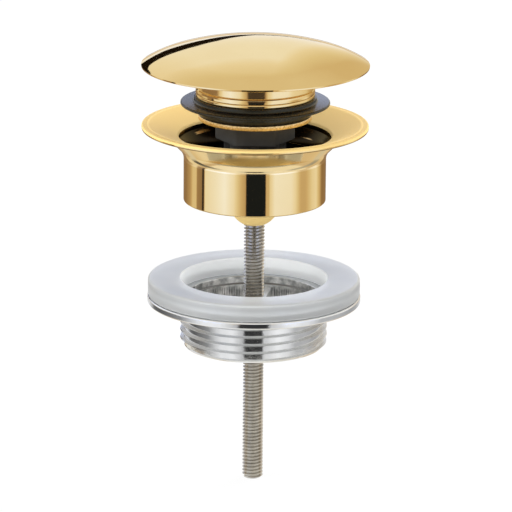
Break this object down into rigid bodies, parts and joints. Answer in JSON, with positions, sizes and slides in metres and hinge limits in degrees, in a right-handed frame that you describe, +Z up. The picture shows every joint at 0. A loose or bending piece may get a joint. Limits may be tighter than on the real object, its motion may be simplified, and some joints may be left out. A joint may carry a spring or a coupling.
{
  "type": "pop up basin waste",
  "caption": "Pop up basin waste with a domed press plug on a sprung cartridge, flanged cup, clamping screw, ring gasket and threaded outlet.",
  "frame": {"origin": "on the waste's axis, in the plane where the flange's underside sits on the basin", "axes": "+Z up along the waste's axis, from the basin towards the domed cap"},
  "size_m": [0.0644, 0.0644, 0.129],
  "materials": {
    "polished_gold": "polished gold coloured plating",
    "knurled_gold": "gold coloured, finely knurled edge",
    "raw_brass": "turned, unplated",
    "screw_steel": "rolled thread, dull",
    "spring_steel": "drawn wire",
    "polished_chrome": "chrome plated brass, polished",
    "black_plastic": "moulded, slightly satin",
    "white_plastic": "moulded acetal, satin",
    "black_rubber": "moulded rubber, satin",
    "clear_gasket": "frosted translucent soft plastic"
  },
  "bodies": {
    "waste_cup": {"flange_cup": "polished_gold"},
    "insert": {"cartridge_core": "black_plastic", "core_lid": "black_plastic", "core_o_ring": "black_rubber", "return_spring": "spring_steel"},
    "cam": {"cam_ring": "white_plastic", "cam_pins": "screw_steel"},
    "plug": {"plunger": "white_plastic", "seal_nut": "black_plastic", "seal_retainer": "knurled_gold", "lip_seal": "black_rubber", "seal_washer": "polished_gold", "plug_neck": "polished_gold", "cap_stud": "screw_steel", "cap_boss": "raw_brass", "dome_cap": "polished_gold"},
    "screw": {"centre_screw": "screw_steel"},
    "outlet": {"ring_gasket": "clear_gasket", "outlet_body": "polished_chrome"}
  },
  "joints": [
    {"name": "insert_lift", "type": "slide", "parent": "waste_cup", "child": "insert", "axis": [0, 0, 1], "range_m": [0, 0.045]},
    {"name": "plug_press", "type": "slide", "parent": "insert", "child": "plug", "axis": [0, 0, 1], "range_m": [-0.011, 0], "stiffness_N_per_m": 600, "springref_m": 0.004, "deforming": ["return_spring"]},
    {"name": "cam_step", "type": "hinge", "parent": "insert", "child": "cam", "pos_m": [0, 0, 0.003], "axis": [0, 0, 1], "range_deg": [0, 41]},
    {"name": "screw_turn", "type": "hinge", "parent": "waste_cup", "child": "screw", "pos_m": [0, 0, -0.0225], "axis": [0, 0, 1], "range_deg": [-8676, 15156]},
    {"name": "outlet_climb", "type": "slide", "parent": "waste_cup", "child": "outlet", "axis": [0, 0, 1], "range_m": [-0.042, 0.024]}
  ],
  "couplings": [
    {"joint": "cam_step", "follows": "plug_press", "rad_per_m": -63.467},
    {"joint": "screw_turn", "follows": "outlet_climb", "rad_per_m": -6283.2}
  ]
}
